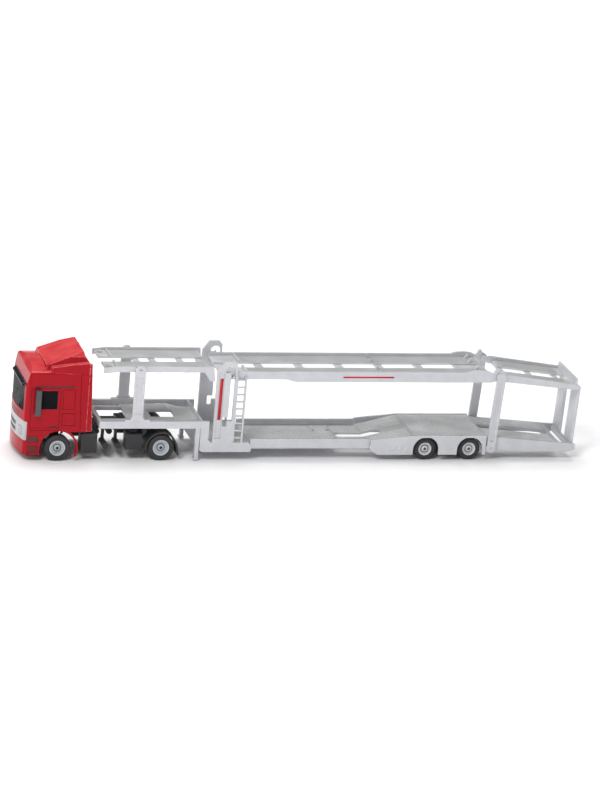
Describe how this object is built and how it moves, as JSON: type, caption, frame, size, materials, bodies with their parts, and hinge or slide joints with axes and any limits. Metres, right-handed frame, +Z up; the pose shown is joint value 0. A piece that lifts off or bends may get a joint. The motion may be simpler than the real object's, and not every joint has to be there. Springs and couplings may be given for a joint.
{
  "type": "toy car transporter truck",
  "caption": "Toy articulated lorry: red cab, black chassis and a silver two-deck car carrier with tilting upper decks and rear ramps.",
  "frame": {"origin": "centre of the vehicle's plan box, on the floor under the wheels", "axes": "-X to the front bumper, +X to the tail, +Y to the vehicle's right-hand side, +Z up"},
  "size_m": [0.4158, 0.059, 0.079],
  "materials": {
    "red_paint": "glossy bright red enamel",
    "dark_glass": "glossy near-black window moulding",
    "grey_plastic": "light grey moulded plastic",
    "clear_lamp": "clear lamp moulding over bright backing",
    "black_plastic": "satin black moulded plastic",
    "interior_plastic": "dark grey moulded plastic",
    "steel_pin": "bright steel wire",
    "rim_plastic": "silver moulded plastic",
    "tyre": "dull black rubber",
    "silver_plastic": "satin silver-grey painted moulding"
  },
  "bodies": {
    "tractor": {"cab_shell": "red_paint", "side_fairings": "red_paint", "roof_deflector": "red_paint", "cab_glazing": "dark_glass", "bumper_band": "grey_plastic", "grille": "black_plastic", "headlights": "clear_lamp", "mirrors": "grey_plastic", "cab_trim": "black_plastic", "cab_steps": "red_paint", "cab_interior": "interior_plastic", "tractor_frame": "black_plastic", "side_tanks": "black_plastic", "air_tanks": "black_plastic", "battery_boxes": "black_plastic", "drive_fenders": "black_plastic", "fifth_wheel": "black_plastic"},
    "front_axle": {"front_axle_shaft": "steel_pin", "front_rims": "rim_plastic", "front_tyres": "tyre"},
    "drive_axle": {"drive_axle_shaft": "steel_pin", "drive_rims": "rim_plastic", "drive_tyres": "tyre"},
    "trailer": {"front_platform": "silver_plastic", "kingpin": "steel_pin", "gooseneck": "silver_plastic", "landing_legs": "silver_plastic", "towers": "silver_plastic", "ladders": "silver_plastic", "plinth": "silver_plastic", "low_frame": "silver_plastic", "low_floor": "silver_plastic", "bogie_deck": "silver_plastic", "bogie_beam": "silver_plastic", "side_skirts": "silver_plastic", "front_posts": "silver_plastic", "lower_rear_tracks": "silver_plastic", "rear_frame": "silver_plastic", "wheel_stops": "silver_plastic"},
    "bogie_front_axle": {"bogie_front_shaft": "steel_pin", "bogie_front_rims": "rim_plastic", "bogie_front_tyres": "tyre"},
    "bogie_rear_axle": {"bogie_rear_shaft": "steel_pin", "bogie_rear_rims": "rim_plastic", "bogie_rear_tyres": "tyre"},
    "front_deck": {"front_upper_deck": "silver_plastic"},
    "posts": {"rear_posts": "silver_plastic"},
    "main_deck": {"main_upper_deck": "silver_plastic", "deck_pins": "steel_pin"},
    "rear_deck": {"rear_upper_deck": "silver_plastic", "end_flap": "silver_plastic"},
    "ramps": {"loading_ramps": "silver_plastic", "ramp_pin": "steel_pin"}
  },
  "joints": [
    {"name": "front_axle_spin", "type": "hinge", "parent": "tractor", "child": "front_axle", "pos_m": [-0.1794, 0, 0.0096], "axis": [0, 1, 0], "continuous": true},
    {"name": "drive_axle_spin", "type": "hinge", "parent": "tractor", "child": "drive_axle", "pos_m": [-0.1042, 0, 0.0096], "axis": [0, 1, 0], "continuous": true},
    {"name": "trailer_yaw", "type": "hinge", "parent": "tractor", "child": "trailer", "pos_m": [-0.1164, 0, 0.0246], "axis": [0, 0, 1], "range_deg": [-60, 60]},
    {"name": "bogie_front_spin", "type": "hinge", "parent": "trailer", "child": "bogie_front_axle", "pos_m": [0.0925, 0, 0.00825], "axis": [0, 1, 0], "continuous": true},
    {"name": "bogie_rear_spin", "type": "hinge", "parent": "trailer", "child": "bogie_rear_axle", "pos_m": [0.126, 0, 0.00825], "axis": [0, 1, 0], "continuous": true},
    {"name": "front_deck_tilt", "type": "hinge", "parent": "trailer", "child": "front_deck", "pos_m": [-0.1232, 0, 0.0674], "axis": [0, -1, 0], "range_deg": [-10, 8]},
    {"name": "rear_posts_swing", "type": "hinge", "parent": "trailer", "child": "posts", "pos_m": [0.1419, 0, 0.0095], "axis": [0, -1, 0], "range_deg": [0, 2.58]},
    {"name": "main_deck_tilt", "type": "hinge", "parent": "posts", "child": "main_deck", "pos_m": [0.1449, 0, 0.063], "axis": [0, -1, 0], "range_deg": [0, 6.33]},
    {"name": "rear_deck_tilt", "type": "hinge", "parent": "posts", "child": "rear_deck", "pos_m": [0.1449, 0, 0.063], "axis": [0, 1, 0], "range_deg": [0, 34]},
    {"name": "ramps_tilt", "type": "hinge", "parent": "trailer", "child": "ramps", "pos_m": [0.2049, 0, 0.0092], "axis": [0, 1, 0], "range_deg": [0, 97]}
  ],
  "couplings": [
    {"joint": "main_deck_tilt", "follows": "rear_posts_swing", "ratio": 2.4501}
  ]
}
